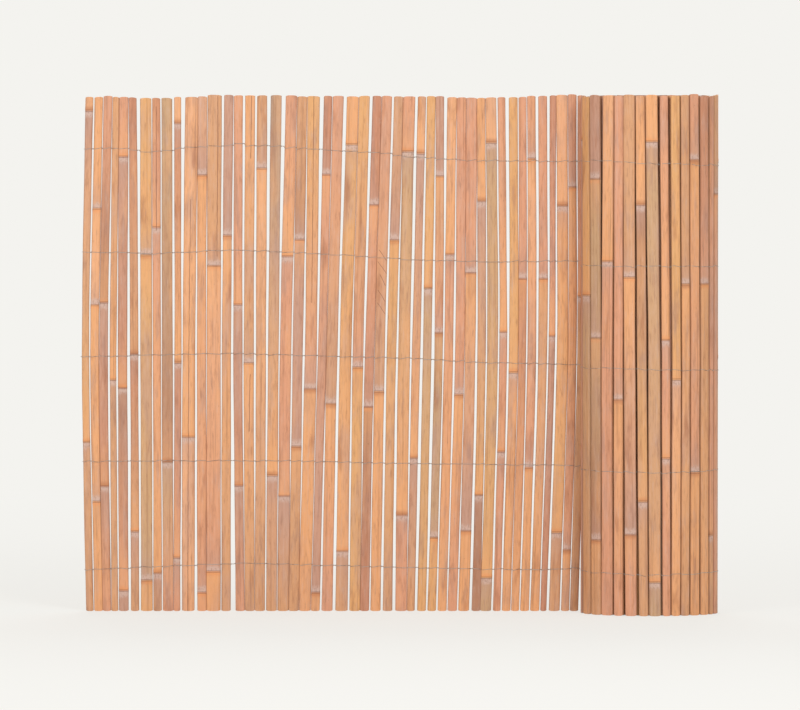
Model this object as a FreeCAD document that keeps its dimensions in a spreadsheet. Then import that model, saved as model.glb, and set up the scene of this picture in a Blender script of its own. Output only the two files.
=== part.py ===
"""Split bamboo fence screen: a run of upright slats tied by wire, with the rest of its length rolled up.

The frame is in millimetres, +Z up, with the origin on the ground under the foot of the first slat.
The run of slats lies along +X, its crowned face towards -Y, and the roll stands at its far end.
"""
import FreeCAD, Part
from enum import IntEnum
import math
import os
import Sketcher

DOCUMENT_NAME = "BambooScreen"
SHEET = "Sizes"
WIRE_COUNT = 5
CURVE_STEPS = 24

SIZES = {
    "slat_length": 1000.0,
    "slat_thickness": 5.0,
    "edge_inset": 1.6,
    "edge_depth": 1.4,
    "node_height": 7.0,
    "node_crest": 2.0,
    "node_proud": 0.7,
    "wire_diameter": 1.2,
    "wire_play": 0.1,
    "wire_loop": 2.4,
    "wire_foot": 88.0,
    "wire_head": 108.0,
    "fence_length": 4000.0,
    "roll_width": 271.0,
    "roll_depth": 204.0,
    "roll_forward": 43.0,
    "roll_clearance": 0.3,
    "turn_pitch": 9.5,
    "rolled_slat_width": 17.0,
    "rolled_slat_gap": 3.5,
}

# Each slat of the run: width, gap to the next slat at half height, length over the nominal one, lean of its
# foot and of its head along the run, heights of nodes of the cane above the foot, and depths of the others
# below the head. The first slat of the roll comes after the last.
SLATS = (
    (13.5, 3.0, -1.0, 8.0, 8.5, (329.0,), (28.0,)),
    (15.5, 1.6, -1.0, 7.5, 9.5, (213.0,), (405.0, 218.0)),
    (16.0, 5.0, 1.0, 6.5, 10.0, (243.0,), (400.0,)),
    (12.0, 3.5, -1.0, 2.5, 6.0, (450.0,), ()),
    (17.5, 6.5, -1.0, 2.0, 3.0, (40.0, 434.0), (117.0,)),
    (15.0, 5.0, -2.0, 1.0, -2.5, (155.0, 500.0), ()),
    (21.5, 2.5, -3.0, 0.5, -0.5, (60.0,), (308.0,)),
    (15.0, 2.5, -3.0, 1.0, -1.0, (74.0,), (254.0,)),
    (20.0, 4.5, -3.0, 1.5, 0.0, (290.0,), ()),
    (12.5, 3.0, -1.0, -2.5, 0.0, (104.0, 483.0), (52.0,)),
    (24.0, 4.0, -1.0, -1.5, 6.0, (339.0,), ()),
    (17.0, 2.0, 0.0, 0.5, 2.5, (36.0,), (153.0,)),
    (26.5, 3.0, 3.0, -0.5, 2.5, (77.0,), (329.0,)),
    (17.0, 5.5, 3.0, -1.0, 5.0, (), (270.0,)),
    (16.5, 3.5, 2.0, 4.0, 1.5, (244.0,), (404.0,)),
    (18.5, 5.0, 2.0, 2.0, 3.5, (482.0,), ()),
    (19.0, 4.5, 2.0, -2.5, 2.5, (), (140.0,)),
    (20.0, 3.0, 2.5, -4.0, 6.0, (264.0,), ()),
    (21.5, 3.5, 2.0, -5.0, 12.0, (224.0,), (310.0,)),
    (19.0, 4.5, 0.0, -8.0, 9.0, (320.0,), (278.0,)),
    (22.5, 3.0, 0.5, -12.0, 6.0, (432.0,), ()),
    (15.5, 1.6, 1.0, -13.5, 12.0, (36.0,), (152.0,)),
    (20.0, 5.0, 1.0, -10.0, 12.5, (403.0,), ()),
    (22.5, 3.0, 0.0, -8.0, 14.5, (117.0,), (93.0,)),
    (20.0, 4.0, 1.0, -6.5, 12.5, (474.0,), ()),
    (17.0, 1.8, 1.0, -10.0, 15.0, (397.0,), (211.0,)),
    (19.0, 4.5, 1.0, -8.5, 14.0, (427.0,), ()),
    (17.5, 4.5, 0.0, -8.0, 14.0, (), (279.0,)),
    (22.0, 5.0, 0.0, -6.0, 10.5, (187.0,), (107.0,)),
    (15.0, 6.0, 0.0, -10.5, 11.5, (298.0,), (111.0,)),
    (16.0, 6.5, 0.5, -11.0, 8.0, (), (372.0,)),
    (15.5, 3.0, 0.5, -13.5, 2.5, (143.0,), (459.0, 155.0)),
    (17.0, 4.5, -1.5, -12.5, 6.5, (), (306.0,)),
    (17.5, 1.6, -2.0, -14.5, 3.5, (421.0,), ()),
    (20.0, 4.5, -2.5, -12.5, 2.5, (156.0,), (343.0,)),
    (15.5, 3.5, -3.0, -11.0, -1.5, (226.0,), (203.0,)),
    (20.0, 3.5, -2.0, -13.5, -3.5, (65.0,), (90.0,)),
    (14.0, 5.0, -1.5, -12.5, -3.5, (310.0,), (457.0,)),
    (16.5, 1.6, -1.5, -14.5, -1.0, (464.0,), ()),
    (14.5, 3.0, -1.0, -14.0, 0.0, (), (354.0,)),
    (16.0, 5.0, 1.0, -14.0, -1.0, (279.0,), (121.0,)),
    (16.5, 3.5, 1.0, -15.5, -0.5, (), (354.0,)),
    (11.5, 4.5, 2.0, -16.0, 2.0, (), (465.0,)),
    (20.5, 1.6, 3.0, -15.5, -1.0, (153.0,), (212.0,)),
    (15.5, 2.0, 4.0, -14.0, -0.5, (119.0,), (176.0,)),
    (15.5, 3.5, 2.0, -14.0, 0.0, (), (388.0,)),
)

# Slats of the roll that face forwards: angles round its middle, in degrees, at which each starts and ends.
ROLL_FRONT = (
    (180.0, 189.5), (191.5, 207.0), (208.5, 221.5), (222.5, 234.0), (235.5, 244.0),
    (245.0, 255.0), (256.5, 264.5), (266.0, 276.0), (277.5, 284.5), (286.5, 294.5),
    (295.5, 303.5), (304.5, 314.5), (316.0, 327.0), (329.0, 336.5), (338.0, 350.0),
)


class Section(IntEnum):
    """Lines of a slat's section, seen from above, starting at the back left corner."""
    BACK = 0
    RIGHT_SIDE = 1
    RIGHT_EDGE = 2
    FRONT = 3
    LEFT_EDGE = 4
    LEFT_SIDE = 5


class Point(IntEnum):
    """Ends of a sketch line."""
    START = 1
    END = 2


class Axis(IntEnum):
    """Lines that every sketch has: its level axis, which starts at the origin, and its upright one."""
    LEVEL = -1
    UPRIGHT = -2


def slat_name(number):
    """Name of a slat of the run, counted from 1."""
    return f"slat_{number:02d}"


def write_sheet(doc):
    """Write every driving size into one aliased sheet."""
    sheet = doc.addObject("Spreadsheet::Sheet", SHEET)
    rows = dict(SIZES)
    for number, (width, gap, trim, foot, head, heights, depths) in enumerate(SLATS, start=1):
        rows[f"width_{number:02d}"] = width
        rows[f"gap_{number:02d}"] = gap
        rows[f"trim_{number:02d}"] = trim
        rows[f"foot_{number:02d}"] = foot
        rows[f"head_{number:02d}"] = head
        for place, height in enumerate(heights, start=1):
            rows[f"node_height_{number:02d}_{place}"] = height
        for place, depth in enumerate(depths, start=1):
            rows[f"node_depth_{number:02d}_{place}"] = depth
    for row, (alias, value) in enumerate(rows.items(), start=1):
        sheet.set(f"A{row}", alias.replace("_", " "))
        sheet.set(f"B{row}", str(value))
        sheet.setAlias(f"B{row}", alias)
    doc.recompute()
    return sheet


def bind(feature, expressions):
    """Bind properties of a feature to expressions of the sheet's cells."""
    for path, expression in expressions.items():
        feature.setExpression(path, expression)


def lean(number, level):
    """Expression for how far a slat stands along the run from its place at half height, at some level."""
    share = f"2 * ({level}) / {SHEET}.slat_length"
    foot, head = f"{SHEET}.foot_{number:02d}", f"{SHEET}.head_{number:02d}"
    return f"({share} < 1 ? {foot} * (1 - {share}) : {head} * ({share} - 1))"


def slat_section(doc, sheet, number):
    """Sketch the section of one slat at half height: flat back, straight sides and a bevelled front."""
    name = slat_name(number)
    half = sheet.get(f"width_{number:02d}") / 2
    deep = sheet.get("slat_thickness") / 2
    inset = sheet.get("edge_inset")
    edge = sheet.get("edge_depth")
    corners = [(-half, deep), (half, deep), (half, edge - deep),
               (half - inset, -deep), (inset - half, -deep), (-half, edge - deep)]
    points = [FreeCAD.Vector(x, y, 0) for x, y in corners]
    sketch = doc.addObject("Sketcher::SketchObject", f"{name}_section")
    for line in Section:
        sketch.addGeometry(Part.LineSegment(points[line], points[(line + 1) % len(Section)]), False)
    for line in Section:
        following = (line + 1) % len(Section)
        sketch.addConstraint(Sketcher.Constraint("Coincident", line, Point.END, following, Point.START))
    for line in (Section.BACK, Section.FRONT):
        sketch.addConstraint(
            Sketcher.Constraint("Symmetric", line, Point.START, line, Point.END, Axis.UPRIGHT))
    for line in (Section.RIGHT_SIDE, Section.LEFT_SIDE):
        sketch.addConstraint(Sketcher.Constraint("Vertical", line))
    origin = (Axis.LEVEL, Point.START)
    back_ends = (Section.BACK, Point.START, Section.BACK, Point.END)
    front_end = (Section.FRONT, Point.START)
    right_end, left_end = (Section.RIGHT_SIDE, Point.END), (Section.LEFT_SIDE, Point.START)
    sketch.addConstraint(Sketcher.Constraint("Horizontal", *right_end, *left_end))
    dimensions = (
        ("width", "DistanceX", *back_ends, 2 * half, f"{SHEET}.width_{number:02d}"),
        ("back", "DistanceY", *origin, Section.BACK, Point.START, deep, f"{SHEET}.slat_thickness / 2"),
        ("front", "DistanceY", *front_end, *origin, deep, f"{SHEET}.slat_thickness / 2"),
        ("inset", "DistanceX", *front_end, *right_end, inset, f"{SHEET}.edge_inset"),
        ("edge", "DistanceY", *front_end, *right_end, edge, f"{SHEET}.edge_depth"),
    )
    for label, kind, *places, value, expression in dimensions:
        index = sketch.addConstraint(Sketcher.Constraint(kind, *places, value))
        sketch.renameConstraint(index, label)
        sketch.setExpression(f"Constraints.{label}", expression)
    bind(sketch, {"Placement.Base.z": f"{SHEET}.slat_length / 2"})
    return sketch


def node_levels(number):
    """Expressions for the height of each node of a slat."""
    heights, depths = SLATS[number - 1][-2:]
    levels = [f"{SHEET}.node_height_{number:02d}_{place}" for place in range(1, len(heights) + 1)]
    levels += [f"({SHEET}.slat_length - {SHEET}.node_depth_{number:02d}_{place})"
               for place in range(1, len(depths) + 1)]
    return levels


def node_ridge(doc, number, place, height):
    """Raised joint of the cane across a slat's front, at the height of one of its nodes."""
    ridge = doc.addObject("Part::Wedge", f"{slat_name(number)}_node_{place}")
    half = f"({SHEET}.width_{number:02d} / 2 - {SHEET}.edge_inset)"
    bind(ridge, {
        "Xmin": f"-{half}", "Xmax": half, "X2min": f"-{half}", "X2max": half,
        "Ymin": f"-{SHEET}.slat_thickness / 2 - {SHEET}.node_proud",
        "Ymax": f"-{SHEET}.slat_thickness / 2",
        "Zmin": f"{height} - {SHEET}.node_crest / 2",
        "Zmax": f"{height} + {SHEET}.node_crest / 2",
        "Z2min": f"{height} - {SHEET}.node_height / 2",
        "Z2max": f"{height} + {SHEET}.node_height / 2",
        "Placement.Base.x": lean(number, height),
    })
    return ridge


def slat(doc, sheet, number):
    """One slat of the run, standing on the ground beside the slat before it.

    It is bowed at half height, from where it leans to its foot and to its head.
    """
    name = slat_name(number)
    section = slat_section(doc, sheet, number)
    half = f"{SHEET}.slat_length / 2"
    rises = {"foot": f"-{half}", "head": f"{half} + {SHEET}.trim_{number:02d}"}
    strips = []
    for end, rise in rises.items():
        strip = doc.addObject("Part::Extrusion", f"{name}_{end}")
        strip.Base = section
        strip.DirMode = "Custom"
        strip.Solid = True
        bind(strip, {"Dir.x": f"{SHEET}.{end}_{number:02d}", "Dir.y": "0", "Dir.z": rise})
        strips.append(strip)
    ridges = [node_ridge(doc, number, place, height)
              for place, height in enumerate(node_levels(number), start=1)]
    piece = doc.addObject("Part::MultiFuse", name)
    piece.Shapes = strips + ridges
    piece.Refine = True
    piece.Label = name
    if number == 1:
        bind(piece, {"Placement.Base.x": f"-{SHEET}.foot_01"})
    else:
        before = number - 1
        step = f"(({SHEET}.width_{before:02d} + {SHEET}.width_{number:02d}) / 2 + {SHEET}.gap_{before:02d})"
        bind(piece, {"Placement.Base.x": f"{slat_name(before)}.Placement.Base.x + {step} * 1 mm"})
    return piece


def wire_level(row):
    """Expression for the height of a row of tie wire, counted from 1 at the foot."""
    spacing = f"({SHEET}.slat_length - {SHEET}.wire_foot - {SHEET}.wire_head) / {WIRE_COUNT - 1}"
    return f"({SHEET}.wire_foot + {row - 1} * {spacing})"


def wire_passages(doc, row):
    """Clear space that a row of tie wire leaves round each slat and its nodes."""
    level = wire_level(row)
    passages = []
    for number in range(1, len(SLATS) + 1):
        box = doc.addObject("Part::Box", f"passage_{row}_{number:02d}")
        half = f"({SHEET}.width_{number:02d} / 2 + {SHEET}.wire_play)"
        left = f"({lean(number, level)} - {half})"
        bind(box, {
            "Length": f"2 * {half}",
            "Width": f"{SHEET}.slat_thickness + {SHEET}.node_proud + 2 * {SHEET}.wire_play",
            "Height": f"2 * {SHEET}.wire_diameter",
            "Placement.Base.x": f"{slat_name(number)}.Placement.Base.x + {left} * 1 mm",
            "Placement.Base.y": f"-{SHEET}.slat_thickness / 2 - {SHEET}.node_proud - {SHEET}.wire_play",
            "Placement.Base.z": f"{level} - {SHEET}.wire_diameter",
        })
        passages.append(box)
    tool = doc.addObject("Part::Compound", f"passages_{row}")
    tool.Links = passages
    return tool


def tie_wire(doc, row):
    """One row of tie wire: a strand before and one behind the slats, twisted together in every gap.

    The strands end in the gap past the last slat, behind the first slat of the roll.
    """
    last = len(SLATS)
    level = wire_level(row)
    bar = doc.addObject("Part::Box", f"strands_{row}")
    start = f"({lean(1, level)} - {SHEET}.width_01 / 2 - {SHEET}.wire_loop)"
    end = f"({lean(last, level)} + {SHEET}.width_{last:02d} / 2 + {SHEET}.gap_{last:02d})"
    front = f"({SHEET}.slat_thickness / 2 + {SHEET}.node_proud + {SHEET}.wire_play + {SHEET}.wire_diameter)"
    back = f"({SHEET}.slat_thickness / 2 + {SHEET}.wire_play + {SHEET}.wire_diameter)"
    run = f"{slat_name(last)}.Placement.Base.x - {slat_name(1)}.Placement.Base.x"
    bind(bar, {
        "Length": f"{run} + ({end} - {start}) * 1 mm",
        "Width": f"{front} + {back}",
        "Height": f"{SHEET}.wire_diameter",
        "Placement.Base.x": f"{slat_name(1)}.Placement.Base.x + {start} * 1 mm",
        "Placement.Base.y": f"-{front}",
        "Placement.Base.z": f"{level} - {SHEET}.wire_diameter / 2",
    })
    wire = doc.addObject("Part::Cut", f"tie_wire_{row}")
    wire.Base = bar
    wire.Tool = wire_passages(doc, row)
    wire.Label = f"tie_wire_{row}"
    return wire


class RollCurve:
    """Oval spiral that the middle of the rolled screen follows, wound inwards from its left side."""

    def __init__(self, sheet):
        self.thick = sheet.get("slat_thickness")
        self.pitch = sheet.get("turn_pitch")
        self.half_width = (sheet.get("roll_width") - self.thick) / 2
        self.half_depth = (sheet.get("roll_depth") - self.thick) / 2
        self.forward = sheet.get("roll_forward")
        wire_front = (self.thick / 2 + sheet.get("node_proud") + sheet.get("wire_play")
                      + sheet.get("wire_diameter"))
        self.start = math.pi / 2
        self.settle_start(wire_front + sheet.get("roll_clearance"))

    def settle_start(self, front):
        """Start the curve where the outer corner of the first rolled slat lies just before the wires."""
        for _ in range(CURVE_STEPS):
            lift = self.forward - front - self.normal(self.start)[1] * self.thick / 2
            self.start = math.pi - math.asin(lift / self.half_depth)

    def axes(self, angle):
        """Half axes of the oval at an angle, less the turns wound so far."""
        wound = self.pitch * (angle - self.start) / (2 * math.pi)
        return self.half_width - wound, self.half_depth - wound

    def normal(self, angle):
        """Outward normal of the oval at an angle."""
        wide, deep = self.axes(angle)
        across, along = math.cos(angle) / wide, math.sin(angle) / deep
        size = math.hypot(across, along)
        return across / size, along / size

    def point(self, angle, offset=0.0):
        """Point of the curve at an angle, moved outwards by an offset."""
        wide, deep = self.axes(angle)
        across, along = self.normal(angle)
        return FreeCAD.Vector(wide * math.cos(angle) + offset * across,
                              deep * math.sin(angle) + offset * along, 0)

    def advance(self, angle, length):
        """Angle reached after a length along the curve."""
        for _ in range(CURVE_STEPS):
            wide, deep = self.axes(angle)
            speed = math.hypot(wide * math.sin(angle), deep * math.cos(angle))
            angle += length / CURVE_STEPS / speed
        return angle

    def length(self, angle):
        """Length along the curve from its start to an angle."""
        step = (angle - self.start) / (CURVE_STEPS * CURVE_STEPS)
        total = 0.0
        for number in range(CURVE_STEPS * CURVE_STEPS):
            here = self.start + (number + 0.5) * step
            wide, deep = self.axes(here)
            total += step * math.hypot(wide * math.sin(here), deep * math.cos(here))
        return total


def rolled_slats(sheet, curve, total):
    """Angles at which each slat of the roll starts and ends, from the outside in, for a length of screen."""
    width, gap = sheet.get("rolled_slat_width"), sheet.get("rolled_slat_gap")
    front = [(math.radians(start), math.radians(end)) for start, end in ROLL_FRONT]
    side = curve.length(front[0][0])
    side_count = max(1, round(side / (width + gap)))
    slats, angle = [], curve.start
    for _ in range(side_count):
        slats.append((angle, curve.advance(angle, side / side_count - gap)))
        angle = curve.advance(slats[-1][1], gap)
    slats += front
    angle = curve.advance(front[-1][1], gap)
    for _ in range(int((total - curve.length(angle)) // (width + gap))):
        slats.append((angle, curve.advance(angle, width)))
        angle = curve.advance(slats[-1][1], gap)
    return slats


def rolled_end(doc, sheet, curve, flat_length):
    """Rest of the screen as one solid: a spiral wall ribbed by its slats.

    Between two slats the wall is grooved from both sides down to the tie wires.
    """
    face, groove = curve.thick / 2, sheet.get("wire_diameter") / 2
    slats = rolled_slats(sheet, curve, sheet.get("fence_length") - flat_length)
    outside, inside = [], []
    for number, edges in enumerate(slats):
        stops = [(edge, face) for edge in edges]
        if number < len(slats) - 1:
            stops.append(((edges[1] + slats[number + 1][0]) / 2, groove))
        outside += [curve.point(stop, offset) for stop, offset in stops]
        inside += [curve.point(stop, -offset) for stop, offset in stops]
    outline = outside + inside[::-1]
    section = Part.Face(Part.makePolygon(outline + outline[:1]))
    roll = doc.addObject("Part::Feature", "rolled_end")
    roll.Shape = section.extrude(FreeCAD.Vector(0, 0, sheet.get("slat_length")))
    roll.Label = "rolled_end"
    return roll


def check(doc, pieces):
    """Stop if any object failed, or if a piece is not one or more valid solids."""
    for item in doc.Objects:
        if "Invalid" in item.State or "Error" in item.State:
            raise RuntimeError(f"{item.Name} failed: {item.State}")
    for piece in pieces:
        if piece.Shape.isNull() or not piece.Shape.isValid() or len(piece.Shape.Solids) != 1:
            raise RuntimeError(f"{piece.Label} is not one valid solid")


def main():
    """Build the screen and write each piece to its own file."""
    doc = FreeCAD.newDocument(DOCUMENT_NAME)
    sheet = write_sheet(doc)
    pieces = [slat(doc, sheet, number) for number in range(1, len(SLATS) + 1)]

    curve = RollCurve(sheet)
    last = f"{len(SLATS):02d}"
    reach = sheet.get(f"gap_{last}") - curve.point(curve.start, -curve.thick / 2).x
    pieces += [tie_wire(doc, row) for row in range(1, WIRE_COUNT + 1)]
    doc.recompute()

    flat_start = pieces[0].Placement.Base.x - sheet.get("width_01") / 2
    flat_end = pieces[len(SLATS) - 1].Placement.Base.x + sheet.get(f"width_{last}") / 2
    roll = rolled_end(doc, sheet, curve, flat_end - flat_start)
    roll.Placement.Base = FreeCAD.Vector(flat_end + reach, -sheet.get("roll_forward"), 0)
    pieces.append(roll)
    doc.recompute()
    check(doc, pieces)

    os.makedirs("parts", exist_ok=True)
    for piece in pieces:
        piece.Shape.exportStep(os.path.join("parts", f"{piece.Label}.step"))
    run = flat_end - flat_start
    print(f"{len(pieces)} pieces, run of slats {run:.1f} mm, roll centre at {flat_end + reach:.1f} mm")


main()
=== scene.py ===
"""Dress the split bamboo screen: its slats, its tie wires and its rolled end, with a studio round it.

Every length is in metres, in the frame of the part: +X along the run towards the roll, -Y towards the
viewer, +Z up the slats.
"""
import contextlib
import logging
import math
import random
from collections.abc import Callable, Iterator, Sequence
from dataclasses import dataclass, field, replace
from enum import Enum

import bmesh
import bpy
import numpy as np
from mathutils import Euler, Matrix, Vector


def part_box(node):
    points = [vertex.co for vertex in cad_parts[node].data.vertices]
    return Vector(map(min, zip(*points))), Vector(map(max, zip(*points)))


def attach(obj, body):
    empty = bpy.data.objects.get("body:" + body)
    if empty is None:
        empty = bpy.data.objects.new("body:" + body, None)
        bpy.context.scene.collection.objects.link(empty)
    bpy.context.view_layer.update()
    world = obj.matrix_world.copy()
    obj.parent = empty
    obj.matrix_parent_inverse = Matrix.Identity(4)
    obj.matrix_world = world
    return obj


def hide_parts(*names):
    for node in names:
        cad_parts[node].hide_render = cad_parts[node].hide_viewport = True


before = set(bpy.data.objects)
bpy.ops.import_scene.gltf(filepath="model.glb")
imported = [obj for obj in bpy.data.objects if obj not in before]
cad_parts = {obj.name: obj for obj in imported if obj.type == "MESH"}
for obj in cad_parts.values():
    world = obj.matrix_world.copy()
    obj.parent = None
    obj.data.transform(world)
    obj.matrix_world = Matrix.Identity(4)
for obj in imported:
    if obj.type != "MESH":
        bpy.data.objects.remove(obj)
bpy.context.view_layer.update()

LOG = logging.getLogger("bamboo_screen")
BODY = "root"
MM = 0.001
SLAT_LENGTH = 1.0
# Gap in millimetres that stands for no node or crack nearby.
FAR_GAP = 400.0
# How near in height or depth two vertices lie on one line.
ALIKE = 0.1 * MM
# From the left side and the front of the roll's solid to its middle.
ROLL_REACH = (0.1349, 0.099)


class Slot(Enum):
    """Material slots of the part."""
    BAMBOO = "bamboo"
    WIRE = "wire"


class Tone(Enum):
    """Colours that split canes dry to, as display red, green and blue from 0 to 255."""
    PEACH = (228, 168, 124)
    ORANGE = (225, 162, 112)
    OCHRE = (218, 163, 108)
    SALMON = (214, 152, 118)
    TAN = (208, 154, 112)
    OLIVE = (194, 156, 118)
    MAUVE = (194, 146, 122)
    RUSSET = (194, 134, 104)
    BROWN = (174, 126, 98)
    ASH = (174, 146, 124)


class Growth(Enum):
    """Which way up a cane grew: its waxy bloom lies on the root side of each node."""
    UP = 1
    DOWN = -1


def linear(display: Sequence[float]) -> tuple[float, float, float, float]:
    """Turn a display colour into the linear one that shaders take.

    Args:
        display: Red, green and blue from 0 to 255.

    Returns:
        Linear red, green, blue and a full alpha.
    """
    parts = [value / 255 for value in display]
    red, green, blue = [p / 12.92 if p <= 0.04045 else ((p + 0.055) / 1.055) ** 2.4 for p in parts]
    return red, green, blue, 1.0


class Bench:
    """Hand operations on meshes, with nothing left selected by chance."""

    @staticmethod
    def clear() -> None:
        """Leave edit mode and deselect everything."""
        if bpy.context.object is not None and bpy.context.object.mode != "OBJECT":
            bpy.ops.object.mode_set(mode="OBJECT")
        bpy.ops.object.select_all(action="DESELECT")

    @staticmethod
    def pick(piece: bpy.types.Object) -> None:
        """Select one piece alone and make it active.

        Args:
            piece: The piece to select.
        """
        Bench.clear()
        piece.select_set(True)
        bpy.context.view_layer.objects.active = piece

    @staticmethod
    def block(name: str, size: Sequence[float], centre: Sequence[float]) -> bpy.types.Object:
        """Add a block with its size and place in its mesh.

        Args:
            name: Name of the new piece.
            size: Full size along X, Y and Z.
            centre: Middle of the block.

        Returns:
            The new object, at the origin.
        """
        Bench.clear()
        bpy.ops.mesh.primitive_cube_add(size=1.0, location=centre)
        piece = bpy.context.object
        piece.name = piece.data.name = name
        piece.scale = size
        bpy.ops.object.transform_apply(location=True, rotation=True, scale=True)
        return piece

    @staticmethod
    @contextlib.contextmanager
    def editing(piece: bpy.types.Object) -> Iterator[bmesh.types.BMesh]:
        """Open a piece in edit mode for as long as the block lasts.

        Args:
            piece: The piece to edit.

        Returns:
            A context that gives the piece's edit mesh.
        """
        Bench.pick(piece)
        bpy.ops.object.mode_set(mode="EDIT")
        bpy.ops.mesh.select_mode(type="EDGE")
        yield bmesh.from_edit_mesh(piece.data)
        bpy.ops.object.mode_set(mode="OBJECT")

    @staticmethod
    def select_edges(mesh: bmesh.types.BMesh, test: Callable[[Vector, Vector], bool]) -> None:
        """Select the edges of an edit mesh whose two ends pass a test, and no others.

        Args:
            mesh: The edit mesh.
            test: Test that takes the places of an edge's two ends.
        """
        bpy.ops.mesh.select_all(action="DESELECT")
        for edge in mesh.edges:
            if test(edge.verts[0].co, edge.verts[1].co):
                edge.select_set(True)
        mesh.select_flush_mode()

    @staticmethod
    def cut(place: Sequence[float], normal: Sequence[float]) -> None:
        """Cut a loop of edges round the mesh in edit mode, where a plane meets it."""
        bpy.ops.mesh.select_all(action="SELECT")
        bpy.ops.mesh.bisect(plane_co=place, plane_no=normal)

    @staticmethod
    def points(piece: bpy.types.Object) -> np.ndarray:
        """Read the places of a piece's vertices.

        Args:
            piece: The piece.

        Returns:
            One row of X, Y and Z for each vertex.
        """
        flat = np.empty(len(piece.data.vertices) * 3)
        piece.data.vertices.foreach_get("co", flat)
        return flat.reshape(-1, 3)

    @staticmethod
    def move(piece: bpy.types.Object, points: np.ndarray) -> None:
        """Move a piece's vertices to new places."""
        piece.data.vertices.foreach_set("co", points.ravel())
        piece.data.update()

    @staticmethod
    def copy(piece: bpy.types.Object, name: str) -> bpy.types.Object:
        """Copy a piece with a mesh of its own.

        Args:
            piece: The piece to copy.
            name: Name of the copy.

        Returns:
            The copy.
        """
        twin = piece.copy()
        twin.data = piece.data.copy()
        twin.name = twin.data.name = name
        bpy.context.scene.collection.objects.link(twin)
        return twin

    @staticmethod
    def smooth(piece: bpy.types.Object, degrees: float) -> None:
        """Shade a piece smooth, apart from edges sharper than an angle."""
        Bench.pick(piece)
        bpy.ops.object.shade_smooth_by_angle(angle=math.radians(degrees))

    @staticmethod
    def join(pieces: list[bpy.types.Object], name: str) -> bpy.types.Object:
        """Join pieces into one.

        Args:
            pieces: The pieces, which are used up.
            name: Name of the joined piece.

        Returns:
            The joined piece.
        """
        Bench.clear()
        for piece in pieces:
            piece.select_set(True)
        bpy.context.view_layer.objects.active = pieces[0]
        bpy.ops.object.join()
        joined = bpy.context.object
        joined.name = joined.data.name = name
        return joined

    @staticmethod
    def note(piece: bpy.types.Object, name: str, values: np.ndarray) -> None:
        """Store a value on every vertex of a piece.

        Args:
            piece: The piece.
            name: Name that the material reads.
            values: One number, one vector or one colour with alpha for each vertex.
        """
        width = 1 if values.ndim == 1 else values.shape[1]
        kind, key = {1: ("FLOAT", "value"), 3: ("FLOAT_VECTOR", "vector"), 4: ("FLOAT_COLOR", "color")}[width]
        layer = piece.data.attributes.new(name, kind, "POINT")
        layer.data.foreach_set(key, np.ascontiguousarray(values, dtype=np.float32).ravel())


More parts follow.
